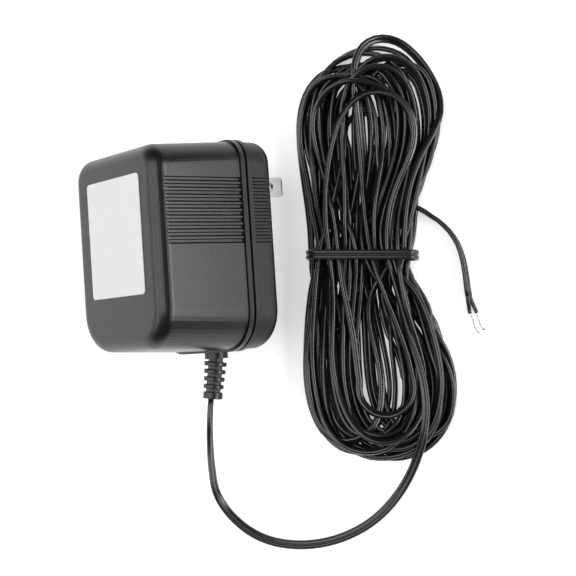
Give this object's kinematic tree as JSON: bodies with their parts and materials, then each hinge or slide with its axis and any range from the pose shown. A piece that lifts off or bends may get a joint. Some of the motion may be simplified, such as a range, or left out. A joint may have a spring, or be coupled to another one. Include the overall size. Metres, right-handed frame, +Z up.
{
  "type": "plug-in ac transformer",
  "caption": "Black wall-plug transformer with flat blades, ribbed grips, a bare label, a segmented strain relief and a tied hank of flat twin cord with stripped ends.",
  "frame": {"origin": "on the table, under the middle of the box of the laid housing and its blades, cord pieces left out", "axes": "+Z up from the table; +Y along the housing, away from the strain relief; +X across it, towards the hank. The housing lies rolled by 46.2 degrees about Y, on a cover edge and a blade tip"},
  "size_m": [0.1287, 0.1715, 0.0635],
  "materials": {
    "shell": "moulded black plastic, fine grain, half gloss",
    "label": "bare white vinyl sticker",
    "blade": "nickel-plated brass, lightly brushed",
    "relief": "black soft PVC, satin",
    "cord": "black PVC, half gloss",
    "tie": "black plastic-coated wire tie",
    "strand": "tinned copper strands",
    "lamination": "varnished silicon steel sheets",
    "bobbin": "natural nylon",
    "copper": "enamelled copper wire",
    "tape": "yellow polyester tape",
    "pin": "tinned pin",
    "cutout": "moulded cut-out body",
    "lead": "PVC lead insulation"
  },
  "bodies": {
    "root": {"front_shell": "shell", "rear_cover": "shell", "label": "label", "blade_left": "blade", "blade_right": "blade", "strain_relief": "relief", "core_e": "lamination", "core_i": "lamination", "bobbin": "bobbin", "terminal_pins": "pin", "primary_winding": "copper", "secondary_winding": "copper", "primary_tape": "tape", "secondary_tape": "tape", "thermal_cutout": "cutout", "primary_lead_left": "lead", "primary_lead_right": "lead", "cord_lead_left": "cord", "cord_lead_right": "cord", "cord_run": "cord", "cord_hank": "cord", "cord_tie": "tie", "cord_tail": "cord", "cord_end_left": "cord", "cord_end_right": "cord", "bare_end_left": "strand", "bare_end_right": "strand"}
  },
  "joints": []
}
